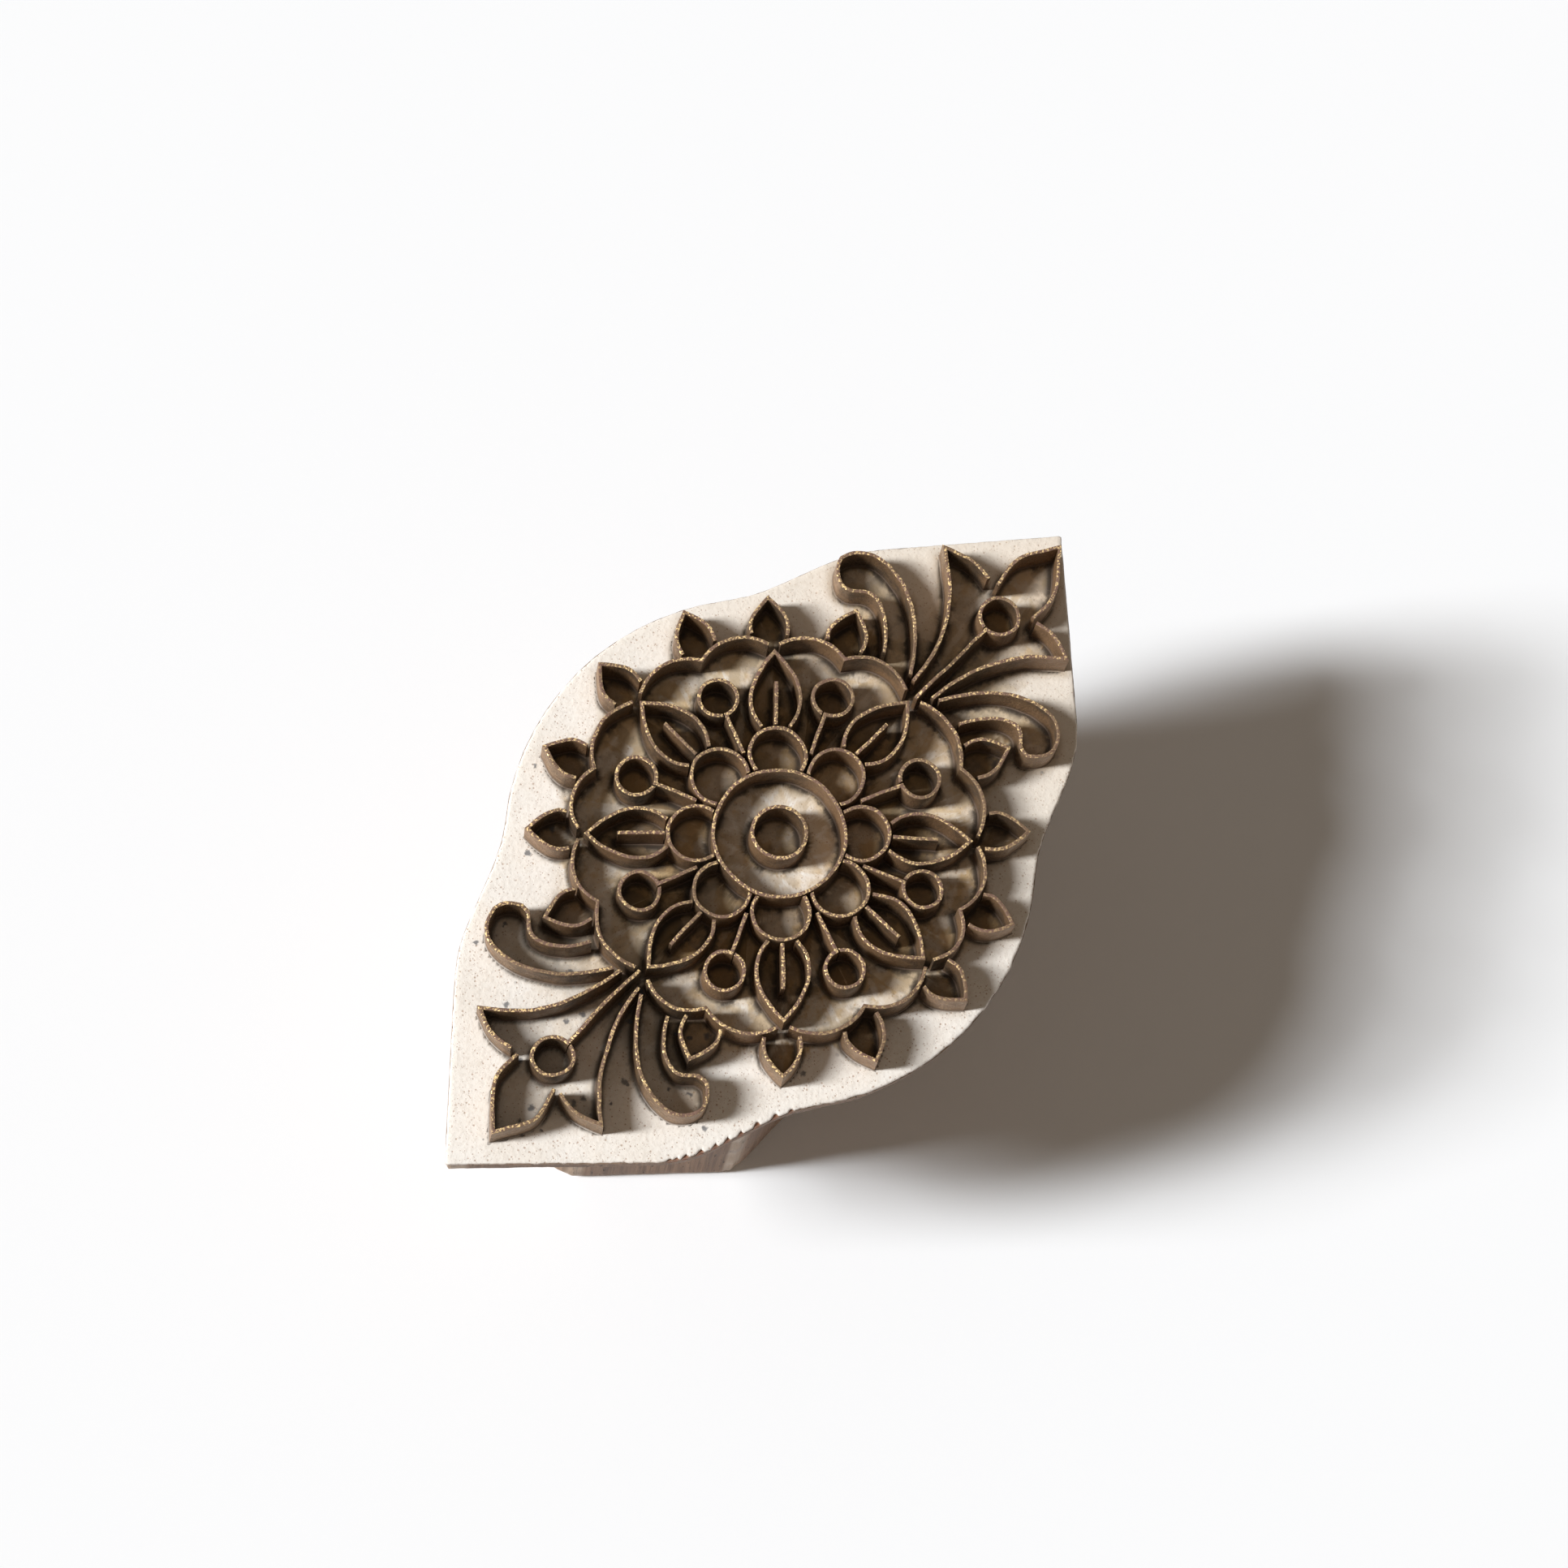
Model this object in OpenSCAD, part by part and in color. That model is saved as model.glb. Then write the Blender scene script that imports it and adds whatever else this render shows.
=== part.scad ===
// Hand-held wooden printing block: a carved wooden block with a chalked printing face and
// a rosette pattern of brass strips that stand on edge in chiselled slots.
// Printing face up, +X along the block's long axis, millimetres, origin under the handle's middle.

/* [Wood] */
// wood left outside the points of the buds, which sets the width of the face
edge_margin = 2.2; // [1.5:0.1:6]
// wood left beyond the fleurs at the two pointed tips, which sets the length of the face
tip_margin = 4.5; // [4:0.1:8]
// how far the two tips lie to the +Y side of the middle line (the outline was cut by eye)
tip_rise = 1.4; // [0:0.1:2]
// direction in which the round middle of the face gives way to the hollow beside the fleur
bulge_end = 52; // [46:1:58]
// height of the block from the handle's end to the chalked face
block_h = 48; // [30:1:70]
// length of the handle's octagon
handle_l = 76; // [60:1:90]
// width of the handle's octagon
handle_w = 38; // [33:1:48]
// how much of each side the handle's corner flats take off
handle_corner = 15.5; // [8:0.5:16]
// height at which the straight handle begins to flare out to the face
flare_z = 17; // [10:1:25]
// how far the nearly square edge of the face goes on below the slots
edge_below = 0.8; // [0.5:0.1:4]
// how far that edge leans in at its lower rim
edge_lean = 0.4; // [0:0.1:0.8]
// thickness of the chalk ground on the face
chalk_t = 0.4; // [0.2:0.1:1]

/* [Brass strip] */
// thickness of the strip
strip_t = 0.45; // [0.3:0.05:1]
// how far the strips stand up from the chalked face
strip_proud = 4; // [2:0.5:8]
// how deep the strips are driven in below the chalked face
slot_depth = 3; // [2:0.5:6]
// gap left where one strip ends beside another
end_gap = 0.15; // [0.1:0.05:0.4]

/* [Rosette] */
// radius of the small ring in the middle, along the middle of the strip
eye_r = 3.2; // [2:0.1:5]
// radius of the centre ring, along the middle of the strip
ring_r = 7.85; // [6.5:0.05:10]
// how far outside the centre ring the middles of the petals' arcs lie
petal_out = 2; // [1.5:0.1:3]
// gap between the petals where they come closest
petal_gap = 0.3; // [0.25:0.05:1]
// length of a leaf, from the petal at its foot to its point
leaf_l = 9.2; // [7.5:0.1:14]
// half width of a leaf at its foot
leaf_foot = 1.7; // [1.2:0.1:2.4]
// gap between a leaf and the berries beside it where they come closest
leaf_gap = 0.4; // [0.2:0.1:1]
// length of a leaf's vein
vein_l = 5.4; // [3:0.1:6]
// distance from a berry's middle out to the contour's inward points
berry_in = 5; // [4:0.1:6]
// radius of a berry's ring, along the middle of the strip
berry_r = 2.35; // [1.5:0.05:2.8]
// how much more than half the gap between petals a berry's stem ends clear of the petals beside it
stem_gap = 0.1; // [0.05:0.05:1]
// how much more than its own thickness a contour strip stops short of a leaf's point
point_room = 0.35; // [0.3:0.05:1.2]
// how far the contour's lobes stand out from its inward points
lobe_rise = 1.7; // [1:0.1:2.2]
// how far the buds' points lie outside the contour's lobes
bud_l = 4.8; // [3.5:0.1:5.5]
// half angle of a bud at its foot
bud_half = 4.9; // [3:0.1:7]
// angle that the pattern is turned from the line between the tips
pattern_turn = -1.1; // [-2:0.1:0]
// how far the rosette sits to +X of the face's middle
pattern_x = 0.9; // [-1:0.1:1.5]

/* [Fleurs] */
// length of a fleur, from the outer side of the contour to its point
fleur_l = 24.8; // [20:0.1:32]
// how much longer the fleur at the +X tip is, and how much shorter the one at the -X tip
fleur_more = 0.5; // [-1:0.1:1]
// radius of the ring bent from a fleur's stem, along the middle of the strip
fleur_ring = 2.4; // [1.5:0.1:3.2]

/* [Hidden] */
// how far each contour point strays from its even place, in degrees, read off the hand-set strips
stray = [0.9, 1.5, 0.1, -0.4, -0.4, 2.5, 0.2, -0.9, 1.1, -0.6, -0.1, 1.8, 2.3, -1.3, -2.4, -2.5];
// share of a contour point's stray that the petal below it follows
petal_share = 0.25;
// how far each bud's point strays
bud_stray = [0, 2.8, 1.2, -1, 0.2, 1.8, -0.9, -1.8, 0, 0.3, -0.5, -1.2, 1.3, 0.4, 0.4, -1.4];
// contour places that carry a bud (the two on the long axis carry the fleurs)
bud_at = [1, 2, 3, 4, 5, 6, 7, 9, 10, 11, 12, 13, 14, 15];
// how wide the two sides of the +X and -X fleurs are spread, against the drawing of a fleur
spread = [[1.09, 0.93], [0.97, 1]];
// how far the points of the +X and -X fleurs lean to their own +Y side
lean = [0.8, 1.5];
// where the straight runs to the tips begin, drawn with the fleurs
shoulder_at = [0.488, 0.62];
half_t = strip_t / 2;
petal_c = ring_r + petal_out;
petal_r = petal_c * sin(22.5) - half_t - petal_gap / 2;
leaf_in = petal_c + petal_r + half_t + end_gap;
leaf_out = leaf_in + leaf_l;
cusp_r = leaf_out + strip_t;
lobe_r = cusp_r + lobe_rise;
bud_tip = lobe_r + bud_l;
berry_c = cusp_r - berry_in;
// a leaf is as wide as the berries leave room where the hand-set pieces stand closest together
closest = min([for (k = [0 : 7]) 22.5 + (stray[(2 * k + 2) % 16] - stray[2 * k]) / 2]);
leaf_half = berry_c * sin(closest) - berry_r - strip_t - leaf_gap;
// a berry's stem ends where the petals on both sides leave it room
stem_in = petal_c * cos(22.5)
    + sqrt(pow(petal_r + strip_t + petal_gap / 2 + stem_gap, 2) - pow(petal_c * sin(22.5), 2));
// where the fleurs begin, and the half length and half width of the face
rim = lobe_r + half_t + end_gap;
half_l = rim + fleur_l + tip_margin;
half_w = bud_tip + edge_margin;
shoulder = [rim + fleur_l * shoulder_at[0], 2 * strip_t + lobe_r * shoulder_at[1]];
handle_half = [handle_l / 2, handle_w / 2];
handle_cut = handle_half[0] + handle_half[1] - handle_corner;
wood_top = block_h - chalk_t;
slot_z = block_h - slot_depth;
edge_z = slot_z - edge_below;
strip_h = slot_depth + strip_proud;
$fn = 72;

// Curves

function flip(path, s) = [for (p = path) [p[0], s * p[1]]];

function turn(path, a) = [for (p = path) [p[0] * cos(a) - p[1] * sin(a), p[0] * sin(a) + p[1] * cos(a)]];

function back(path) = [for (i = [len(path) - 1 : -1 : 0]) path[i]];

function bez(a, b, c, d, n) = [for (i = [0 : n]) let (u = i / n)
    pow(1 - u, 3) * a + 3 * u * pow(1 - u, 2) * b + 3 * u * u * (1 - u) * c + u * u * u * d];

function arc(c, r, a0, a1, n) = [for (i = [0 : n]) let (a = a0 + (a1 - a0) * i / n)
    [c[0] + r * cos(a), c[1] + r * sin(a)]];

// smooth curve through the points of p, m steps from each point to the next
function through(p, m) = let (e = len(p) - 1) concat([for (i = [0 : e - 1], k = [0 : m - 1])
    let (u = k / m, b = p[i], c = p[i + 1], a = i > 0 ? p[i - 1] : 2 * b - c,
         d = i < e - 1 ? p[i + 2] : 2 * c - b)
    0.5 * (2 * b + (c - a) * u + (2 * a - 5 * b + 4 * c - d) * u * u
           + (3 * b - a - 3 * c + d) * u * u * u)], [p[e]]);

function unit(v) = v / norm(v);

// sideways step of half a strip at point i of a path, mitred where the strip bends
function side(p, i) = let (e = len(p) - 1,
    u = unit(i > 0 ? p[i] - p[i - 1] : p[1] - p[0]),
    v = unit(i < e ? p[i + 1] - p[i] : p[e] - p[e - 1]),
    m = unit(u + v))
    [-m[1], m[0]] * half_t / (m * u);

// top outline of a strip that follows a path
module ribbon(p) {
    polygon(concat([for (i = [0 : len(p) - 1]) p[i] + side(p, i)],
                   [for (i = [len(p) - 1 : -1 : 0]) p[i] - side(p, i)]));
}

// top outline of a strip bent into a ring
module hoop(r) {
    difference() {
        circle(r = r + half_t);
        circle(r = r - half_t);
    }
}

// top outline of a straight strip from [x0, 0] whose other end is bent into a ring about [c, 0];
// the bent end stops just short of the strip's own side
module eyelet(x0, c, r) {
    difference() {
        union() {
            polygon([[x0, -half_t], [c, -half_t], [c, half_t], [x0, half_t]]);
            translate([c, 0])
                circle(r = r + half_t);
        }
        translate([c, 0])
            circle(r = r - half_t);
        translate([c - r - strip_t, half_t])
            square([2 * strip_t, end_gap]);
    }
}

// Wood

// quarter of the face's outline, from the round middle to the tip: an arc, a hollow, a straight run
function quarter(rise) = let (a = arc([0, 0], half_w, 90, bulge_end, 7), e = a[7],
    tip = [half_l, rise], pull = norm(shoulder - e) / 3,
    b = bez(e, e + pull * [sin(bulge_end), -cos(bulge_end)],
            shoulder + pull * unit(shoulder - tip), shoulder, 8))
    concat(a, [for (i = [1 : 8]) b[i]], [for (i = [1 : 4]) shoulder + (tip - shoulder) * i / 5]);

// whole outline of the face, anticlockwise from the +X tip
face_line = let (up = quarter(tip_rise), dn = quarter(-tip_rise), n = len(up) - 1)
    concat([[half_l, tip_rise]], back(up),
           [for (i = [1 : n]) [-up[i][0], up[i][1]]], [[-half_l, tip_rise]],
           [for (i = [n : -1 : 0]) -dn[i]],
           [for (i = [1 : n]) [dn[i][0], -dn[i][1]]]);

// point of the handle's octagon on the ray to a point of the face's outline
function on_handle(q) = let (c = max(abs(q[0]) / norm(q), 0.001), s = max(abs(q[1]) / norm(q), 0.001))
    unit(q) * min(handle_half[0] / c, handle_half[1] / s, handle_cut / (c + s));

// levels of the wood: [height, share of the way from the handle to the lower rim of the face's edge]
flare = concat([[0, 0]], [for (i = [0 : 8]) let (u = i / 8) [flare_z + (edge_z - flare_z) * u, u * u]]);

// point of the wood's side at share f, on the way from the handle to point q of the face's outline
function flared(q, f) = let (h = on_handle(q)) h + f * (1 - edge_lean / norm(q - h)) * (q - h);

module wood_body() {
    n = len(face_line);
    top = len(flare) * n;
    mid = top + n;
    sides = [for (f = flare, q = face_line) let (p = flared(q, f[1])) [p[0], p[1], f[0]]];
    face = [for (q = face_line) [q[0], q[1], wood_top]];
    walls = [for (a = [0 : n : top - 1], i = [0 : n - 1]) let (b = (i + 1) % n)
        each [[a + i, a + n + i, a + n + b], [a + i, a + n + b, a + b]]];
    ends = [for (i = [0 : n - 1]) let (b = (i + 1) % n) each [[mid, i, b], [mid + 1, top + b, top + i]]];
    polyhedron(concat(sides, face, [[0, 0, 0], [0, 0, wood_top]]), concat(walls, ends));
}

// Pattern, seen from above

function cusp(i) = 22.5 * i + stray[i % 16];

// arc of contour lobe i: its middle direction, the arc's centre, its radius and its half angle
function lobe(i) = let (w = (cusp(i + 1) - cusp(i)) / 2, x = cusp_r * cos(w),
    y = cusp_r * sin(w), s = lobe_r - x, r = (s * s + y * y) / (2 * s), c = lobe_r - r)
    [cusp(i) + w, c, r, atan2(y, x - c)];

// lobe i's arc, cut short by cut0 and cut1 (lengths along it) at its two ends
function lobe_path(i, cut0, cut1) = let (g = lobe(i), k = 180 / PI / g[2])
    turn(arc([g[1], 0], g[2], k * cut0 - g[3], g[3] - k * cut1, 7), g[0]);

// distance from the middle to the outer side of the contour in direction a, where lobe i lies
function rim_r(i, a) = let (g = lobe(i), d = a - g[0], r = g[2] + half_t)
    g[1] * cos(d) + sqrt(r * r - pow(g[1] * sin(d), 2));

// an arc whose two ends stop just short of the centre ring
module petal_2d(k) {
    difference() {
        rotate(45 * k + stray[2 * k] * petal_share)
            translate([petal_c, 0])
                hoop(petal_r);
        circle(r = ring_r + half_t + end_gap);
    }
}

// where the foot of leaf k on side s (1 or -1) ends just clear of the petal it stands on
function leaf_start(k, s) = let (e = stray[2 * k] * (1 - petal_share)) petal_c * cos(e)
    + sqrt(pow(petal_r + half_t + end_gap, 2) - pow(s * (leaf_foot - half_t) + petal_c * sin(e), 2));

function leaf_edge(k, s) = flip(bez([leaf_start(k, s), leaf_foot],
    [leaf_in + leaf_l * 0.22, leaf_half * 1.3],
    [leaf_out - leaf_l * 0.39, leaf_half * 1.13], [leaf_out, 0], 7), s);

// one strip folded at the leaf's point
module leaf_2d(k) {
    far = leaf_edge(k, -1);
    ribbon(turn(concat(leaf_edge(k, 1), [for (i = [6 : -1 : 0]) far[i]]), cusp(2 * k)));
}

module vein_2d(k) {
    ribbon(turn([[leaf_in, 0], [leaf_in + vein_l, 0]], cusp(2 * k)));
}

module berry_2d(k) {
    rotate(45 * k + 22.5 + (stray[2 * k] + stray[(2 * k + 2) % 16]) / 2)
        eyelet(stem_in, berry_c, berry_r);
}

// how much a contour strip is cut short at contour point i: more where a fleur's stem begins
function contour_cut(i) = strip_t + point_room + (i % 8 == 0 ? strip_t : 0);

// one strip from leaf point to leaf point, bent inward once between its two lobes
module contour_2d(k) {
    a = lobe_path(2 * k, contour_cut(2 * k), 0);
    b = lobe_path(2 * k + 1, 0, contour_cut(2 * k + 2));
    ribbon(concat(a, [for (i = [1 : 7]) b[i]]));
}

// where a bud's foot in direction a ends just clear of contour lobe i, which may slope under it
function bud_start(i, a) = half_t / 2 + end_gap
    + max([for (s = [-1 : 1]) rim_r(i, a + s * 180 / PI * half_t / lobe_r)]);

module bud_2d(i) {
    a = 22.5 * i + bud_stray[i];
    lo = bud_start(i - 1, a - bud_half);
    hi = bud_start(i, a + bud_half);
    y = lobe_r * sin(bud_half);
    bulge = [lobe_r + bud_l * 0.4, y * 1.36];
    neck = [lobe_r + bud_l * 0.69, y * 0.7];
    up = bez(turn([[hi, 0]], bud_half)[0], bulge, neck, [bud_tip, 0], 5);
    dn = bez(turn([[lo, 0]], bud_half)[0], bulge, neck, [bud_tip, 0], 5);
    ribbon(turn(concat(flip(dn, -1), [for (j = [4 : -1 : 0]) up[j]]), a));
}

// The fleurs' strips are drawn outward from the contour: x in shares of the fleur's length,
// y in shares of the contour's radius

function fleur_len(end) = fleur_l + (end == 0 ? fleur_more : -fleur_more);

// points of a strip that lies n strips out from the stem, on side 0 (+Y) or 1 (-Y) of a fleur
function drawn(end, side, n, p) = flip([for (q = p)
    [rim + fleur_len(end) * q[0], n * strip_t + lobe_r * spread[end][side] * q[1]]], side == 0 ? 1 : -1);

module fleur_stem_2d(end) {
    eyelet(cusp_r + strip_t + end_gap, rim + fleur_len(end) * 0.533, fleur_ring);
}

// one strip folded at the point, which leans to one side
module fleur_tip_2d(end) {
    q = [[0.641, 0.119], [0.783, 0.136], [0.879, 0.092], [1, 0]];
    edge = through([for (p = q) [rim + fleur_len(end) * p[0], lobe_r * p[1]]], 3);
    far = [for (s = [1, -1]) [for (p = edge)
           [p[0], s * p[1] + lean[end] * (p[0] - edge[0][0]) / (edge[9][0] - edge[0][0])]]];
    ribbon(concat(far[0], [for (i = [8 : -1 : 0]) far[1][i]]));
}

// on each side, one strip that runs out to the blade's tip and folds back to the tip leaf's foot
module fleur_blades_2d(end) {
    out = [[0, 0.042], [0.158, 0.069], [0.299, 0.121], [0.428, 0.196], [0.516, 0.276], [0.605, 0.383]];
    in = [[0.605, 0.383], [0.645, 0.284], [0.65, 0.212], [0.637, 0.141]];
    for (side = [0, 1])
        ribbon(concat(through(drawn(end, side, 1, out), 2),
                      [for (i = [1 : 6]) through(drawn(end, side, 1, in), 2)[i]]));
}

// on each side, one strip curled over and led back to the contour
module fleur_curls_2d(end) {
    p = [[0.016, 0.055], [0.117, 0.123], [0.226, 0.218], [0.302, 0.333], [0.339, 0.452], [0.335, 0.556],
         [0.283, 0.627], [0.21, 0.655], [0.15, 0.631], [0.109, 0.575], [0.117, 0.52], [0.162, 0.476],
         [0.181, 0.433], [0.166, 0.369], [0.117, 0.302], [0.056, 0.25], [0, 0.214]];
    for (side = [0, 1])
        ribbon(through(drawn(end, side, 2, p), 2));
}

// moves a drawing from the rosette's own place to its place on the face
module placed() {
    translate([pattern_x, 0])
        rotate(pattern_turn)
            children();
}

// moves a fleur to the +X tip (end 0) or the -X tip (end 1)
module at_tip(end) {
    placed()
        rotate(180 * end)
            children();
}

module pattern_2d() {
    placed() {
        hoop(eye_r);
        hoop(ring_r);
        for (k = [0 : 7]) {
            petal_2d(k);
            leaf_2d(k);
            vein_2d(k);
            berry_2d(k);
            contour_2d(k);
        }
        for (i = bud_at)
            bud_2d(i);
    }
    for (end = [0, 1])
        at_tip(end) {
            fleur_stem_2d(end);
            fleur_tip_2d(end);
            fleur_blades_2d(end);
            fleur_curls_2d(end);
        }
}

// Pieces

module strip() {
    color("peru")
        translate([0, 0, slot_z])
            linear_extrude(height = strip_h)
                children();
}

module wood_block() {
    color("saddlebrown")
        difference() {
            wood_body();
            translate([0, 0, slot_z])
                linear_extrude(height = slot_depth)
                    pattern_2d();
        }
}

module chalk_ground() {
    color("ivory")
        translate([0, 0, wood_top])
            linear_extrude(height = chalk_t)
                difference() {
                    polygon(face_line);
                    pattern_2d();
                }
}

module centre_eye() { strip() placed() hoop(eye_r); }

module centre_ring() { strip() placed() hoop(ring_r); }

module petal(k) { strip() placed() petal_2d(k); }

module leaf(k) { strip() placed() leaf_2d(k); }

module leaf_veins() {
    for (k = [0 : 7])
        strip() placed() vein_2d(k);
}

module berry(k) { strip() placed() berry_2d(k); }

module contour(k) { strip() placed() contour_2d(k); }

module bud(i) { strip() placed() bud_2d(bud_at[i]); }

module fleur_stem(end) { strip() at_tip(end) fleur_stem_2d(end); }

module fleur_tip(end) { strip() at_tip(end) fleur_tip_2d(end); }

module fleur_blades(end) { strip() at_tip(end) fleur_blades_2d(end); }

module fleur_curls(end) { strip() at_tip(end) fleur_curls_2d(end); }

wood_block();
chalk_ground();
centre_eye();
centre_ring();
leaf_veins();
for (k = [1 : 8]) {
    petal(k - 1);
    leaf(k - 1);
    berry(k - 1);
    contour(k - 1);
}
for (k = [1 : 14])
    bud(k - 1);
fleur_stem(0);  // fleur_a_stem
fleur_tip(0);  // fleur_a_tip
fleur_blades(0);  // fleur_a_blades
fleur_curls(0);  // fleur_a_curls
fleur_stem(1);  // fleur_b_stem
fleur_tip(1);  // fleur_b_tip
fleur_blades(1);  // fleur_b_blades
fleur_curls(1);  // fleur_b_curls
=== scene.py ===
"""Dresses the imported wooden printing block: carved wood, a chalk ground and bent brass strips."""

import math
import random

import bpy
import numpy as np
from bpy.props import FloatProperty, FloatVectorProperty, PointerProperty
from bpy.types import Operator, Panel, PropertyGroup
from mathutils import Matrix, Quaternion, Vector, geometry, kdtree, noise
from mathutils.bvhtree import BVHTree


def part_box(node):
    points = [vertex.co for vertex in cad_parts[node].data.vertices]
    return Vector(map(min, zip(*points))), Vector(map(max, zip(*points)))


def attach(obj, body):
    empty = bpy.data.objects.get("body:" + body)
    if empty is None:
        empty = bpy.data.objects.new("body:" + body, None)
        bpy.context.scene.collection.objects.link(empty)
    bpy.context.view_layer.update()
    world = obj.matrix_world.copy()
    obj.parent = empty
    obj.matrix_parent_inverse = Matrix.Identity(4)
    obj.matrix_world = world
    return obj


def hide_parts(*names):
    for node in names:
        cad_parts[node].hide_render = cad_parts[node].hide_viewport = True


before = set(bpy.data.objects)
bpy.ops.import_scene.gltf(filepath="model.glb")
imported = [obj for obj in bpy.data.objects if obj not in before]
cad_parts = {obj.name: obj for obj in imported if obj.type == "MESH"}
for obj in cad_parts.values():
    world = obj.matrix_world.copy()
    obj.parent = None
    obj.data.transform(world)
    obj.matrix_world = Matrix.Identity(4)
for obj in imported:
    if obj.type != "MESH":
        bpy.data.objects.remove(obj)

bl_info = {
    "name": "Wooden printing block",
    "version": (1, 0, 0),
    "blender": (4, 5, 0),
    "location": "3D View > Sidebar > Printing block",
    "description": "Carved wood, chalk ground and brass strips of a textile printing block",
    "category": "Object",
}

MM = 0.001


def top_of(node):
    """Height of the top of one of the frame's nodes, in millimetres."""
    return round(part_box(node)[1].z / MM, 3)


# Heights above the table top, in millimetres
RIM_Z = top_of("centre_ring")        # printing edges of the strips
FILED_FROM = RIM_Z - 1.0             # from here up, the file has lowered the strips a little
FACE_Z = top_of("chalk_ground")      # top of the chalk ground
CHALK_CUT = FACE_Z - 0.2             # where the chalk's outline is taken
WOOD_Z = top_of("wood_block")        # top of the wood under the chalk
WOOD_CUTS = (0.05, WOOD_Z - 0.05)    # lowest and highest place where the wood's outline is taken
CHIPS_FROM = WOOD_Z - 1.4            # from here up, the chips in the wood's edge show
SAWN = (WOOD_Z - 7.6, WOOD_Z - 4.6)  # the marks of the saw begin between these heights
WALL_ROWS = [RIM_Z - down for down in (4.7, 3.6, 2.6, 1.6, 0.7)]  # points up a wall, foot and rim apart

AROUND = 1080          # points round the wood and round the chalk
END_ROWS = 34          # rings of points across the handle's end
FACE_ROWS = 64         # rings of points across the chalk

WINDOW_TURN = 138.4    # direction of the window, in degrees from the block's long axis
PANES = (45.0, 38.0, 31.5)  # height of each pane of the window above the table top, in degrees
TABLE_HALF = 3000.0    # half the width of the table top, in millimetres
CAMERA_AT = (-0.127538, -0.0662, 0.501887)  # in metres, as is the point that the camera looks at
CAMERA_AIM = (0.006894, 0.004299, 0.048)
CAMERA_ROLL = 15.6     # in degrees
LENS = 91.573          # focal length in millimetres, for a frame 36 mm wide

SMUDGES = 34           # spots of dye that dried on the chalk beside the strips
SMUDGED_TO = -12.0     # they lie at the end of the face where x is below this, in millimetres
CHIPS = 10             # bites out of the edge of the face
CHIPPED = (205.0, 228.0)  # the stretch of the edge that has them, in degrees round the middle

SHUT_REACH = 7.0       # how far round a place the strips that close it in are looked for, in millimetres
WALL_REACH = 2.6       # how far from a wall the strip across from it is looked for, in millimetres
SPOKES = [Vector((math.cos(a), math.sin(a), 0.0)) for a in np.arange(12) * math.pi / 6 + 0.13]

EYE = ["centre_eye", "centre_ring"]
PETALS = [f"petal_{i}" for i in range(1, 9)]
LEAVES = [f"leaf_{i}" for i in range(1, 9)] + ["leaf_veins"]
BERRIES = [f"berry_{i}" for i in range(1, 9)]
CONTOURS = [f"contour_{i}" for i in range(1, 9)]
BUDS = [f"bud_{i}" for i in range(1, 15)]
FLEURS = [f"fleur_{end}_{part}" for end in "ab" for part in ("stem", "tip", "blades", "curls")]
STRIPS = EYE + PETALS + LEAVES + BERRIES + CONTOURS + BUDS + FLEURS


class BrassFinish(PropertyGroup):
    """The brass strips."""

    metal: FloatVectorProperty(
        name="Bare metal", description="Colour of the brass where the edge is rubbed bright",
        subtype="COLOR", size=3, min=0.0, max=1.0, default=(0.91, 0.65, 0.315))
    tarnish: FloatVectorProperty(
        name="Tarnish", description="Colour of the tarnished walls",
        subtype="COLOR", size=3, min=0.0, max=1.0, default=(0.27, 0.155, 0.08))
    blush: FloatVectorProperty(
        name="Blush", description="Colour of the pinker strips",
        subtype="COLOR", size=3, min=0.0, max=1.0, default=(0.32, 0.205, 0.14))
    wander: FloatProperty(
        name="Wander", description="How far a hand bent strip strays from its line",
        subtype="DISTANCE", unit="LENGTH", min=0.0, max=0.0005, default=0.00016)
    lean: FloatProperty(
        name="Lean", description="How far the top of a strip leans from its foot",
        subtype="DISTANCE", unit="LENGTH", min=0.0, max=0.0005, default=0.00022)
    edge_round: FloatProperty(
        name="Edge rounding", description="Width of the worn corner along the printing edge",
        subtype="DISTANCE", unit="LENGTH", min=0.00002, max=0.0002, default=0.00005)


class ChalkFinish(PropertyGroup):
    """The chalk ground on the face."""

    chalk: FloatVectorProperty(
        name="Chalk", description="Colour of the clean ground",
        subtype="COLOR", size=3, min=0.0, max=1.0, default=(0.955, 0.90, 0.83))
    # painted shade over some dye stain, in the smallest closed-in places of the chalk
    residue_and_shade: FloatVectorProperty(
        name="Residue", description="Colour of old dye caught between the strips",
        subtype="COLOR", size=3, min=0.0, max=1.0, default=(0.15, 0.09, 0.043))
    roll: FloatProperty(
        name="Unevenness", description="How much the brushed ground rises and falls",
        subtype="DISTANCE", unit="LENGTH", min=0.0, max=0.0003, default=0.00012)
    rim: FloatProperty(
        name="Bare rim", description="Width of bare wood left round the ground",
        subtype="DISTANCE", unit="LENGTH", min=0.0, max=0.001, default=0.00016)


class WoodFinish(PropertyGroup):
    """The carved wood."""

    heart: FloatVectorProperty(
        name="Dark grain", description="Colour of the dark grain",
        subtype="COLOR", size=3, min=0.0, max=1.0, default=(0.135, 0.075, 0.045))
    sap: FloatVectorProperty(
        name="Pale grain", description="Colour of the pale grain",
        subtype="COLOR", size=3, min=0.0, max=1.0, default=(0.31, 0.19, 0.12))
    worn: FloatVectorProperty(
        name="Worn edge", description="Colour of the edges that hands have rubbed",
        subtype="COLOR", size=3, min=0.0, max=1.0, default=(0.47, 0.33, 0.21))
    carve: FloatProperty(
        name="Carving depth", description="Depth of the marks that the rasp left",
        subtype="DISTANCE", unit="LENGTH", min=0.0, max=0.001, default=0.00035)


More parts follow.
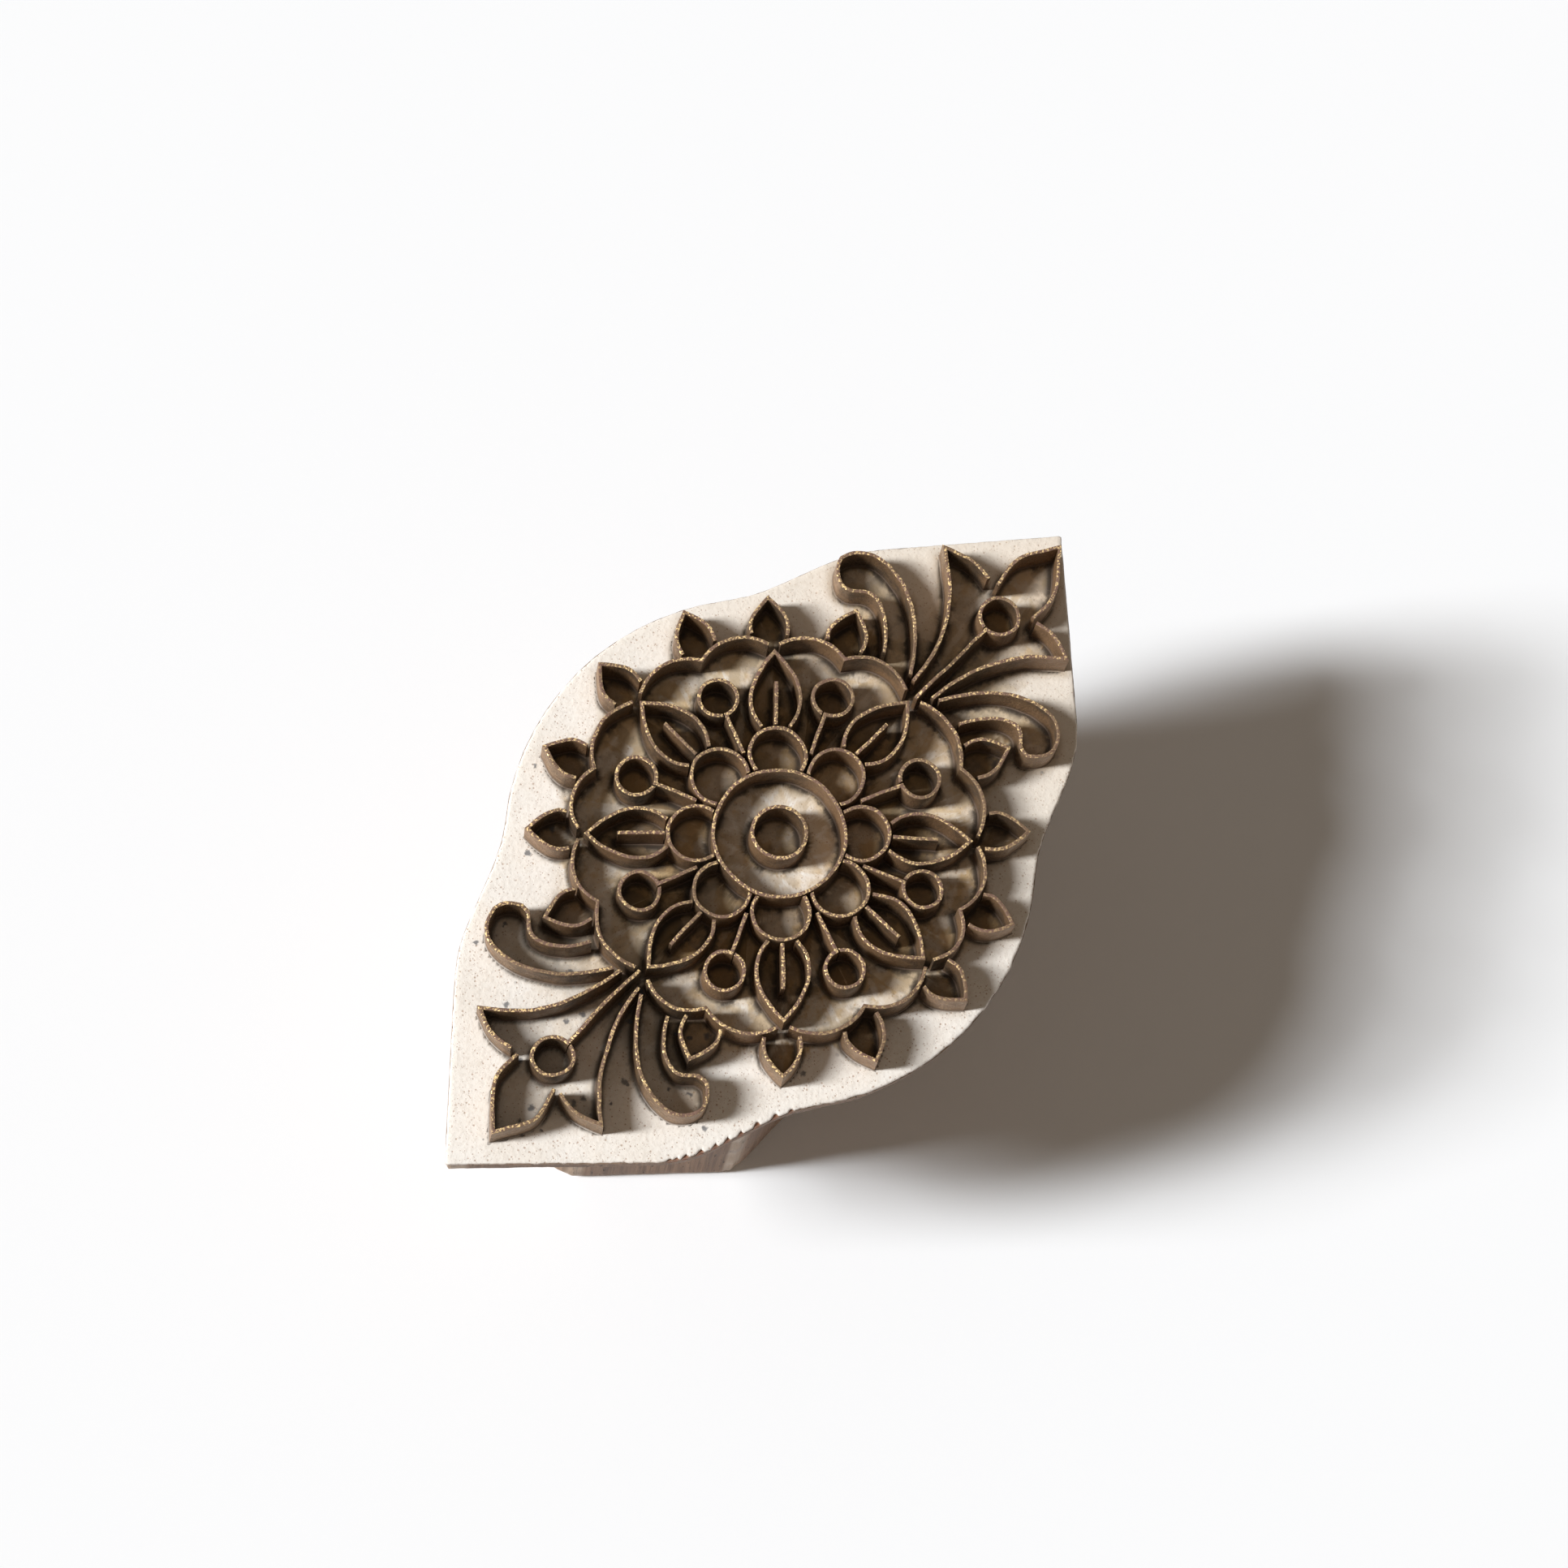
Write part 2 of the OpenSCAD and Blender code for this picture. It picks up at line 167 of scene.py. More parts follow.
class StudioSetup(PropertyGroup):
    """Floor, light and camera."""

    sun: FloatProperty(
        name="Window light", description="Strength of the window's light on the table top",
        min=0.0, max=10.0, default=2.80)
    sun_size: FloatProperty(
        name="Pane size", description="Angle that one pane covers, for soft shadow edges",
        subtype="ANGLE", unit="ROTATION", min=0.0, max=1.5, default=math.radians(9.5))
    fill: FloatProperty(
        name="Fill light", description="Strength of the light from all round",
        min=0.0, max=2.0, default=0.155)
    floor: FloatVectorProperty(
        name="Floor", description="Colour of the table top",
        subtype="COLOR", size=3, min=0.0, max=1.0, default=(0.972, 0.974, 0.98))


class Shop:
    """A short way to add nodes to one tree and to join them."""

    def __init__(self, tree):
        self.tree = tree

    def node(self, kind, **settings):
        made = self.tree.nodes.new("ShaderNode" + kind)
        for name, value in settings.items():
            setattr(made, name, value)
        return made

    def put(self, socket, value):
        if isinstance(value, bpy.types.NodeSocket):
            self.tree.links.new(value, socket)
        elif hasattr(socket.default_value, "__len__") and len(value) == 3 and len(socket.default_value) == 4:
            socket.default_value = (*value, 1.0)
        else:
            socket.default_value = value

    def work(self, operation, first, second):
        made = self.node("Math", operation=operation)
        self.put(made.inputs[0], first)
        self.put(made.inputs[1], second)
        return made.outputs[0]

    def times(self, first, second):
        return self.work("MULTIPLY", first, second)

    def plus(self, first, second):
        return self.work("ADD", first, second)

    def minus(self, first, second):
        return self.work("SUBTRACT", first, second)

    def mix(self, share, first, second):
        made = self.node("Mix", data_type="RGBA")
        self.put(made.inputs[0], share)
        self.put(made.inputs[6], first)
        self.put(made.inputs[7], second)
        return made.outputs[2]

    def span(self, value, low, high, to_low=0.0, to_high=1.0):
        made = self.node("MapRange", interpolation_type="SMOOTHSTEP")
        for place, given in enumerate((value, low, high, to_low, to_high)):
            self.put(made.inputs[place], given)
        return made.outputs[0]

    def stretch(self, where, factors):
        made = self.node("VectorMath", operation="MULTIPLY")
        self.put(made.inputs[0], where)
        self.put(made.inputs[1], factors)
        return made.outputs[0]

    def noise(self, where, scale, detail, rough):
        made = self.node("TexNoise")
        self.put(made.inputs["Vector"], where)
        self.put(made.inputs["Scale"], scale)
        self.put(made.inputs["Detail"], detail)
        self.put(made.inputs["Roughness"], rough)
        return made.outputs["Fac"]

    def axes(self, vector):
        made = self.node("SeparateXYZ")
        self.put(made.inputs[0], vector)
        return made.outputs

    def upward(self):
        """How far the surface faces up: 1 on top, 0 on a wall and -1 underneath."""
        return self.axes(self.node("NewGeometry").outputs["Normal"])[2]

    def place(self):
        """The object's own coordinates, in millimetres."""
        return self.stretch(self.node("TexCoord").outputs["Object"], (1000.0,) * 3)

    def use(self, name, **given):
        """The output of a shared group, placed with its own values."""
        made = self.node("Group", node_tree=bpy.data.node_groups[name])
        for key, value in given.items():
            self.put(made.inputs[key.replace("_", " ").title()], value)
        return made.outputs[0]

    def mask(self, name):
        return self.node("Attribute", attribute_name=name).outputs["Fac"]


def shared_group(name, sockets, build):
    """A node group whose one output is Mask, made from named inputs."""
    tree = bpy.data.node_groups.new(name, "ShaderNodeTree")
    tree.interface.new_socket("Place", in_out="INPUT", socket_type="NodeSocketVector")
    for label, value in sockets:
        made = tree.interface.new_socket(label, in_out="INPUT", socket_type="NodeSocketFloat")
        made.default_value = value
    tree.interface.new_socket("Mask", in_out="OUTPUT", socket_type="NodeSocketFloat")
    shop = Shop(tree)
    entry = tree.nodes.new("NodeGroupInput")
    leave = tree.nodes.new("NodeGroupOutput")
    shop.put(leave.inputs[0], build(shop, entry.outputs))
    return tree


def build_streaks(shop, given):
    """Long thin streaks along one way: grain in wood, drawing lines in brass."""
    across = shop.work("DIVIDE", 1.0, given["Across"])
    along = shop.work("DIVIDE", 1.0, given["Along"])
    factors = shop.node("CombineXYZ")
    shop.put(factors.inputs[0], across)
    shop.put(factors.inputs[1], across)
    shop.put(factors.inputs[2], along)
    return shop.noise(shop.stretch(given["Place"], factors.outputs[0]), 1.0, 4.0, 0.6)


def build_patches(shop, given):
    """Soft uneven patches with a chosen share of the surface."""
    size = shop.work("DIVIDE", 1.0, given["Size"])
    cloud = shop.noise(given["Place"], size, 5.0, 0.6)
    low = shop.minus(given["Level"], given["Softness"])
    high = shop.plus(given["Level"], given["Softness"])
    return shop.span(cloud, low, high)


def build_specks(shop, given):
    """Scattered grains: some of the cells of a fine pattern, each with its own size."""
    cells = shop.node("TexVoronoi")
    shop.put(cells.inputs["Vector"], given["Place"])
    shop.put(cells.inputs["Scale"], shop.work("DIVIDE", 1.0, given["Size"]))
    draw = shop.node("SeparateColor")
    shop.put(draw.inputs[0], cells.outputs["Color"])
    chosen = shop.work("LESS_THAN", draw.outputs[0], given["Share"])
    reach = shop.work("MULTIPLY_ADD", draw.outputs[1], 0.35)
    reach.node.inputs[2].default_value = 0.12
    spot = shop.span(cells.outputs["Distance"], reach, shop.times(reach, 0.5))
    return shop.times(spot, chosen)


def make_groups():
    shared_group("Streaks", (("Across", 0.5), ("Along", 20.0)), build_streaks)
    shared_group("Patches", (("Size", 5.0), ("Level", 0.5), ("Softness", 0.1)), build_patches)
    shared_group("Specks", (("Size", 0.3), ("Share", 0.2)), build_specks)


def new_finish(name, **constants):
    """A material, its node shop and its Principled shader with these constants."""
    made = bpy.data.materials.new(name)
    made.use_nodes = True
    shader = made.node_tree.nodes["Principled BSDF"]
    for key, value in constants.items():
        shader.inputs[key.replace("_", " ").title()].default_value = value
    return made, Shop(made.node_tree), shader


def bump(shop, shader, height, depth_mm):
    """Feeds a height into the shader's normal, where a height of 1 stands for depth_mm."""
    made = shop.node("Bump")
    made.inputs["Strength"].default_value = 1.0
    made.inputs["Distance"].default_value = depth_mm * MM
    shop.put(made.inputs["Height"], height)
    shop.put(shader.inputs["Normal"], made.outputs["Normal"])


def brass_material(look):
    made, shop, shader = new_finish("Tarnished brass")
    place = shop.place()
    rim = shop.span(shop.upward(), 0.25, 0.8)
    lines = shop.use("Streaks", place=place, across=2.2, along=0.12)
    mottle = shop.use("Patches", place=place, size=1.6, level=0.5, softness=0.16)
    broad = shop.use("Patches", place=place, size=9.0, level=0.5, softness=0.08)
    glints = shop.use("Patches", place=place, size=0.3, level=0.54, softness=0.05)
    bright_part = shop.use("Patches", place=place, size=14.0, level=0.47, softness=0.1)
    dusty = shop.use("Specks", place=place, size=0.3, share=0.3)
    grit = shop.use("Patches", place=place, size=0.3, level=0.52, softness=0.1)

    # Walls: tarnish, then grime, drawing lines, pits and dust, and dye stain with painted shade where strips
    # close a place in, near black in the smallest places
    wall = shop.mix(broad, look.tarnish, look.blush)
    wall = shop.mix(shop.times(mottle, 0.6), wall, (0.13, 0.085, 0.05))
    wall = shop.mix(shop.span(lines, 0.47, 0.62, 0.0, 0.6), wall, (0.52, 0.38, 0.24))
    wall = shop.mix(shop.times(grit, 0.6), wall, (0.11, 0.068, 0.04))
    wall = shop.mix(shop.times(dusty, 0.3), wall, (0.56, 0.46, 0.33))
    closed = shop.mask("shut")
    # painted shade over some dye stain: the walls darken with how far the strips close their place in
    dye_and_shade = shop.mix(mottle, (0.145, 0.083, 0.038), (0.05, 0.030, 0.016))
    wall = shop.mix(shop.span(closed, 0.40, 0.62, 0.0, 0.85), wall, dye_and_shade)
    wall = shop.mix(shop.span(closed, 0.66, 0.82, 0.0, 0.55), wall, (0.045, 0.028, 0.017))
    wall = shop.mix(shop.times(broad, 0.4), wall, (0.34, 0.185, 0.085))

    # Rims: dark bronze with bright places that printing and handling keep bare
    edge = shop.mix(broad, (0.195, 0.112, 0.062), (0.19, 0.10, 0.07))
    edge = shop.mix(shop.times(mottle, 0.4), edge, (0.13, 0.078, 0.042))
    spark = shop.times(glints, shop.span(bright_part, 0.0, 1.0, 0.3, 0.85))
    edge = shop.mix(spark, edge, look.metal)

    colour = shop.mix(rim, wall, edge)
    # painted shade: every wall darkens towards its foot, where it meets the chalk
    foot = shop.span(shop.axes(place)[2], FACE_Z + 0.9, FACE_Z, 0.0, 1.0)
    colour = shop.mix(shop.times(foot, 0.6), colour, (0.13, 0.09, 0.06))
    shop.put(shader.inputs["Base Color"], colour)
    shop.put(shader.inputs["Metallic"], shop.span(shop.times(rim, spark), 0.0, 1.0, 0.12, 0.95))
    rough = shop.span(mottle, 0.0, 1.0, 0.42, 0.6)
    shop.put(shader.inputs["Roughness"], shop.minus(rough, shop.times(spark, 0.16)))
    height = shop.plus(shop.times(lines, 0.5), shop.times(mottle, 0.35))
    height = shop.plus(height, shop.times(glints, shop.times(rim, 0.6)))
    height = shop.minus(height, shop.times(grit, 0.5))
    bump(shop, shader, height, 0.09)
    return made


def chalk_material(look, brass):
    made, shop, shader = new_finish("Chalk ground", roughness=0.9)
    shader.inputs["Specular IOR Level"].default_value = 0.2
    place = shop.place()
    cloud = shop.use("Patches", place=place, size=7.0, level=0.5, softness=0.2)
    fine = shop.use("Patches", place=place, size=0.55, level=0.55, softness=0.15)
    grains = shop.use("Specks", place=place, size=0.36, share=0.34)
    dots = shop.use("Specks", place=place, size=0.9, share=0.24)
    blotch = shop.use("Patches", place=place, size=5.0, level=0.52, softness=0.07)
    tiny = shop.use("Specks", place=place, size=0.24, share=0.28)
    colour = shop.mix(shop.times(cloud, 0.3), look.chalk, (0.85, 0.74, 0.61))
    colour = shop.mix(shop.times(fine, 0.16), colour, (0.60, 0.47, 0.36))
    colour = shop.mix(shop.times(grains, 0.6), colour, (0.42, 0.25, 0.155))
    colour = shop.mix(shop.times(tiny, 0.5), colour, (0.36, 0.21, 0.14))
    along = shop.axes(place)[0]
    closed, foot = shop.mask("shut"), shop.mask("foot")

    # Brown stains inside the pattern, stronger towards the +X end, with a painted golden reflection of the
    # brass on them; then the whole chalk darker and browner towards +X
    inside_weight = shop.span(along, -34.0, -14.0, 0.3, 1.0)
    inside = shop.times(shop.span(closed, 0.50, 0.68), inside_weight)
    stain = shop.times(inside, shop.span(blotch, 0.0, 1.0, 0.95, 0.45))
    tint = shop.mix(shop.span(cloud, 0.2, 0.8), (0.75, 0.58, 0.37), (0.61, 0.425, 0.22))
    # painted reflection: golden light from the brass walls on the chalk, more of it towards +X
    painted_brass_reflection = shop.times(shop.span(along, -12.0, 24.0, 0.15, 0.85), blotch)
    tint = shop.mix(painted_brass_reflection, tint, (0.55, 0.345, 0.14))
    colour = shop.mix(stain, colour, tint)
    # the whole chalk darker and browner towards +X
    browner_to_plus_x = shop.times(shop.span(along, -5.0, 40.0, 0.0, 0.45), shop.span(cloud, 0.0, 1.0, 1.0, 0.6))
    colour = shop.mix(browner_to_plus_x, colour, (0.72, 0.585, 0.43))

    # Close to the strips: brown darkening near their feet; in closed-in places painted shade as dark
    # patches, dark brown fill and dark corners, over some dye stain; blue-grey ink dots outside the pattern;
    # and a painted dark line of shade along every foot
    near = shop.span(foot, 0.15, 0.8)
    # brown darkening close to the strips' feet, stronger towards +X
    darker_to_plus_x = shop.span(along, -30.0, 35.0, 0.12, 0.8)
    near_darkening = shop.times(near, shop.times(darker_to_plus_x, shop.span(cloud, 0.0, 1.0, 1.0, 0.5)))
    colour = shop.mix(near_darkening, colour, (0.45, 0.34, 0.23))
    # painted shade: dark patches in closed-in places, strongest by the strips' feet
    shade_patches = shop.use("Patches", place=place, size=2.6, level=0.5, softness=0.07)
    shade_patches = shop.times(shade_patches, shop.times(inside, shop.span(near, 0.0, 1.0, 0.25, 0.95)))
    # painted shade over some dye stain: the smallest closed-in places turn dark brown to amber
    amber = shop.mix(cloud, look.residue_and_shade, (0.44, 0.28, 0.125))
    dyed_and_shaded = shop.times(shop.span(closed, 0.72, 0.84, 0.0, 0.92), inside_weight)
    colour = shop.mix(dyed_and_shaded, colour, amber)
    colour = shop.mix(shade_patches, colour, (0.045, 0.038, 0.034))
    # painted shade close to the strips' feet where they close a place in, and in the narrow gaps between
    # them
    corner = shop.times(shop.span(foot, 0.48, 0.72), shop.span(closed, 0.38, 0.56, 0.0, 0.85))
    colour = shop.mix(corner, colour, (0.06, 0.042, 0.028))
    ink = shop.times(shop.times(near, dots), shop.span(blotch, 0.0, 1.0, 0.25, 0.95))
    ink = shop.times(ink, shop.minus(1.0, inside))
    colour = shop.mix(ink, colour, (0.10, 0.105, 0.12))
    # painted shade: a dark line along the foot of every strip
    line = shop.times(shop.span(foot, 0.82, 1.0), 0.75)
    colour = shop.mix(line, colour, (0.16, 0.11, 0.08))

    # Spots of dried dye: noise shifts their edges by up to fray, and so their middles by half of it
    fray = 0.9
    spots = None
    rugged = shop.node("VectorMath", operation="ADD")
    shake = shop.node("TexNoise")
    shop.put(shake.inputs["Vector"], place)
    shake.inputs["Scale"].default_value = 1.7
    shop.put(rugged.inputs[0], place)
    shop.put(rugged.inputs[1], shop.stretch(shake.outputs["Color"], (fray, fray, 0.0)))
    for x, y, half in smudges(brass):
        away = shop.node("VectorMath", operation="DISTANCE")
        shop.put(away.inputs[0], rugged.outputs[0])
        shop.put(away.inputs[1], (x + fray / 2, y + fray / 2, FACE_Z))
        spot = shop.span(away.outputs["Value"], half * 1.15, half * 0.4)
        spots = spot if spots is None else shop.work("MAXIMUM", spots, spot)
    colour = shop.mix(shop.times(spots, 0.78), colour, (0.085, 0.09, 0.105))
    colour = shop.mix(shop.times(shop.mask("broken"), 0.9), colour, (0.21, 0.095, 0.05))
    shop.put(shader.inputs["Base Color"], colour)
    height = shop.plus(shop.times(fine, 0.4), shop.times(grains, -0.4))
    height = shop.plus(height, shop.times(cloud, 0.5))
    bump(shop, shader, height, 0.05)
    return made


def wood_material(look):
    made, shop, shader = new_finish("Carved wood")
    shader.inputs["Specular IOR Level"].default_value = 0.3
    place = shop.place()
    grain = shop.use("Streaks", place=place, across=0.55, along=22.0)
    bands = shop.use("Streaks", place=place, across=4.5, along=70.0)
    fibres = shop.use("Streaks", place=place, across=0.16, along=4.0)
    pores = shop.use("Specks", place=shop.stretch(place, (1.0, 1.0, 0.16)), size=0.36, share=0.26)
    patches = shop.use("Patches", place=place, size=9.0, level=0.5, softness=0.12)
    colour = shop.mix(shop.span(grain, 0.3, 0.7), look.heart, look.sap)
    colour = shop.mix(shop.span(bands, 0.42, 0.62, 0.0, 0.45), colour, (0.11, 0.066, 0.045))
    colour = shop.mix(shop.span(fibres, 0.55, 0.75, 0.0, 0.45), colour, (0.36, 0.23, 0.14))
    colour = shop.mix(shop.times(pores, 0.65), colour, (0.035, 0.020, 0.013))
    colour = shop.mix(shop.times(patches, 0.3), colour, (0.17, 0.125, 0.10))

    # Marks of the saw under the face, then worn edges, fresh breaks and the handle's end grain
    sawn = shop.span(shop.axes(place)[2], *SAWN)
    marks = shop.node("TexWave", wave_type="BANDS", bands_direction="Z")
    shop.put(marks.inputs["Vector"], place)
    marks.inputs["Scale"].default_value = 0.42
    marks.inputs["Distortion"].default_value = 3.5
    marks.inputs["Detail"].default_value = 3.0
    marks.inputs["Detail Scale"].default_value = 0.8
    ridges = shop.times(marks.outputs["Fac"], sawn)
    colour = shop.mix(shop.times(ridges, 0.35), colour, (0.34, 0.24, 0.17))
    worn = shop.times(shop.mask("worn"), shop.span(patches, 0.0, 1.0, 0.65, 0.3))
    colour = shop.mix(worn, colour, look.worn)
    colour = shop.mix(shop.mask("broken"), colour, (0.38, 0.175, 0.10))
    end = shop.span(shop.upward(), -0.55, -0.85)
    fuzz = shop.noise(place, 1.6, 6.0, 0.7)
    end_colour = shop.mix(shop.span(fuzz, 0.35, 0.65), (0.16, 0.070, 0.028), (0.46, 0.24, 0.105))
    colour = shop.mix(end, colour, end_colour)
    shop.put(shader.inputs["Base Color"], colour)
    shop.put(shader.inputs["Roughness"], shop.span(shop.mask("worn"), 0.0, 1.0, 0.68, 0.45))
    height = shop.plus(shop.times(grain, 0.35), shop.times(fibres, 0.3))
    height = shop.minus(height, shop.times(pores, 0.7))
    height = shop.plus(height, shop.times(ridges, 0.5))
    height = shop.plus(height, shop.times(end, shop.times(fuzz, 1.5)))
    bump(shop, shader, height, 0.22)
    return made


def floor_material(colour):
    made, shop, shader = new_finish("Table top", roughness=0.8)
    shader.inputs["Specular IOR Level"].default_value = 0.1
    place = shop.place()
    cloud = shop.use("Patches", place=place, size=60.0, level=0.5, softness=0.3)
    tone = shop.mix(shop.times(cloud, 0.02), colour, (0.9, 0.9, 0.9))
    shop.put(shader.inputs["Base Color"], tone)
    return made


def new_piece(name, points, faces, material, sharp_deg=None):
    """A new object from points in millimetres."""
    mesh = bpy.data.meshes.new(name)
    mesh.from_pydata([tuple(p) for p in np.asarray(points, float) * MM], [], faces)
    mesh.validate()
    mesh.shade_smooth()
    if sharp_deg is not None:
        mesh.set_sharp_from_angle(angle=math.radians(sharp_deg))
    mesh.materials.append(material)
    made = bpy.data.objects.new(name, mesh)
    bpy.context.scene.collection.objects.link(made)
    return made


def add_mask(piece, name, values):
    layer = piece.data.attributes.new(name, "FLOAT", "POINT")
    layer.data.foreach_set("value", np.asarray(values, np.float32))


def ring_faces(first, rows, count, turned=False):
    """Quads between rings of points that follow each other; turned ones face the other way."""
    faces = []
    for low in range(first, first + (rows - 1) * count, count):
        high = low + count
        for i in range(count):
            j = (i + 1) % count
            if turned:
                faces.append((low + i, high + i, high + j, low + j))
            else:
                faces.append((low + i, low + j, high + j, high + i))
    return faces


def fan(middle, first, count, turned=False):
    """Triangles from a middle point to the ring of points round it."""
    pairs = [(first + i, first + (i + 1) % count) for i in range(count)]
    return [(middle, b, a) if turned else (middle, a, b) for a, b in pairs]


def drift(x, y, size, seed):
    """A smooth random value, about -1 to 1, that changes over size millimetres."""
    return noise.noise(Vector((x / size + seed * 17.31, y / size - seed * 9.77, seed)))


def ground_z(x, y, roll_mm):
    """Height of the brushed ground: low places and brush ridges, never above the face."""
    low = 0.5 + 0.5 * drift(x, y, 8.0, 3.0)
    ridge = 0.5 + 0.5 * drift(x * 0.35 + y, y * 0.35 - x, 2.4, 5.0)
    return FACE_Z - roll_mm * (0.65 * low + 0.35 * ridge)


def outlines(node):
    """The closed outlines of a strip's top, each outer one followed by its holes, brass on the left."""
    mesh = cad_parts[node].data
    points = np.array([v.co for v in mesh.vertices], float) / MM
    keys = [tuple(k) for k in np.round(points, 3)]
    top = points[:, 2].max()
    directed = {}
    for face in mesh.polygons:
        if face.normal.z > 0.99 and points[face.vertices[0], 2] > top - 0.01:
            ring = [keys[i] for i in face.vertices]
            for a, b in zip(ring, ring[1:] + ring[:1]):
                directed[(a, b)] = True
    follow = {}
    for a, b in directed:
        if (b, a) not in directed:
            follow.setdefault(a, []).append(b)
    loops = []
    while follow:
        start = next(iter(follow))
        loop, here = [], start
        while here in follow:
            loop.append(here[:2])
            onward = follow[here].pop()
            if not follow[here]:
                del follow[here]
            here = onward
            if here == start:
                break
        loops.append(np.array(loop))
    outer = [[loop] for loop in loops if area(loop) > 0]
    for hole in (loop for loop in loops if area(loop) <= 0):
        home = min((g for g in outer if holds(g[0], hole[0])), key=lambda g: area(g[0]))
        home.append(hole)
    return outer


def area(loop):
    x, y = loop[:, 0], loop[:, 1]
    return 0.5 * float(np.sum(x * np.roll(y, -1) - np.roll(x, -1) * y))


def holds(loop, point):
    """True if a closed outline goes round a point."""
    x, y = point
    inside = False
    for (ax, ay), (bx, by) in zip(loop, np.roll(loop, -1, 0)):
        if (ay > y) != (by > y) and x < (bx - ax) * (y - ay) / (by - ay) + ax:
            inside = not inside
    return inside


def evened(loop, step=0.32, corner_deg=24.0):
    """The outline with even spacing between its sharp corners, and its curves smoothed."""
    before = loop - np.roll(loop, 1, 0)
    after = np.roll(loop, -1, 0) - loop
    turn = np.abs(np.degrees(np.arctan2(
        before[:, 0] * after[:, 1] - before[:, 1] * after[:, 0],
        (before * after).sum(1))))
    corners = [i for i in range(len(loop)) if turn[i] > corner_deg]
    smooth = not corners
    corners = corners or [0]
    made, fixed = [], []
    for a, b in zip(corners, corners[1:] + [corners[0] + len(loop)]):
        run = loop[np.arange(a, b + 1) % len(loop)]
        reach = np.concatenate([[0.0], np.cumsum(np.hypot(*np.diff(run, axis=0).T))])
        count = max(1, int(round(reach[-1] / step)))
        at = np.linspace(0.0, reach[-1], count + 1)[:-1]
        made.append(np.column_stack([np.interp(at, reach, run[:, 0]), np.interp(at, reach, run[:, 1])]))
        fixed += [not smooth] + [False] * (count - 1)
    points, held = np.vstack(made), np.array(fixed)[:, None]
    for _ in range(3):
        soft = 0.5 * points + 0.25 * (np.roll(points, 1, 0) + np.roll(points, -1, 0))
        points = np.where(held, points, soft)
    return points


def inward(points):
    """Unit normals towards the brass, longer at corners so that an inset keeps its width."""
    back = points - np.roll(points, 1, 0)
    on = np.roll(points, -1, 0) - points
    back /= np.maximum(np.hypot(*back.T), 1e-9)[:, None]
    on /= np.maximum(np.hypot(*on.T), 1e-9)[:, None]
    normals = np.column_stack([-(back + on)[:, 1], (back + on)[:, 0]])
    normals /= np.maximum(np.hypot(*normals.T), 0.35)[:, None]
    square = np.column_stack([-on[:, 1], on[:, 0]])
    widen = np.clip(1.0 / np.maximum((normals * square).sum(1), 0.3), 1.0, 1.6)
    return normals * widen[:, None]


def bent(points, look):
    """Where hand bending puts each point of an outline, at its foot and at its top."""
    wander, lean = look.wander / MM, look.lean / MM
    foot, top = points.copy(), points.copy()
    for i, (x, y) in enumerate(points):
        dx = wander * (drift(x, y, 6.0, 1.0) + 0.55 * drift(x, y, 2.1, 2.0))
        dy = wander * (drift(x, y, 6.0, 4.0) + 0.55 * drift(x, y, 2.1, 6.0))
        foot[i] = x + dx, y + dy
        top[i] = x + dx + lean * drift(x, y, 9.0, 7.0), y + dy + lean * drift(x, y, 9.0, 8.0)
    return foot, top


OUTLINES = {}


def strip_outlines(node, look):
    """A strip's outlines as bent by hand, made once: for each group, the foot and top points."""
    if node not in OUTLINES:
        OUTLINES[node] = [[bent(evened(loop), look) for loop in group] for group in outlines(node)]
    return OUTLINES[node]


SHELTER = []


def shelter(look):
    """The walls of all strips as a tree for rays, and their outlines as one for distances, made once."""
    if not SHELTER:
        loops = [foot for node in STRIPS for group in strip_outlines(node, look) for foot, _ in group]
        near = kdtree.KDTree(sum(len(foot) for foot in loops))
        corners, walls = [], []
        for at, (x, y) in enumerate(np.vstack(loops)):
            near.insert((x, y, 0.0), at)
        near.balance()
        for foot in loops:
            base, n = len(corners), len(foot)
            corners += [(x, y, -1.0) for x, y in foot] + [(x, y, 1.0) for x, y in foot]
            walls += [(base + i, base + (i + 1) % n, base + n + (i + 1) % n, base + n + i) for i in range(n)]
        SHELTER.extend((BVHTree.FromPolygons(corners, walls), near))
    return SHELTER


def shut_in(x, y, fence):
    """How far strips close a place in, from 0 in the open to nearly 1 inside a small ring."""
    shut = 0.0
    for way in SPOKES:
        reach = fence.ray_cast(Vector((x, y, 0.0)), way, SHUT_REACH)[3]
        if reach is not None:
            shut += 1.0 - 0.6 * reach / SHUT_REACH
    return shut / len(SPOKES)


def shut_walls(foot, normals, fence):
    """The same for each place along a strip's wall, looked at a little way out from it."""
    shut = []
    for (x, y), (nx, ny) in zip(foot, normals):
        way = Vector((-nx, -ny, 0.0)).normalized()
        reach = fence.ray_cast(Vector((x, y, 0.0)) + way * 0.03, way, WALL_REACH)[3] or WALL_REACH
        shut.append(shut_in(x + way.x * reach * 0.5, y + way.y * reach * 0.5, fence))
    return shut


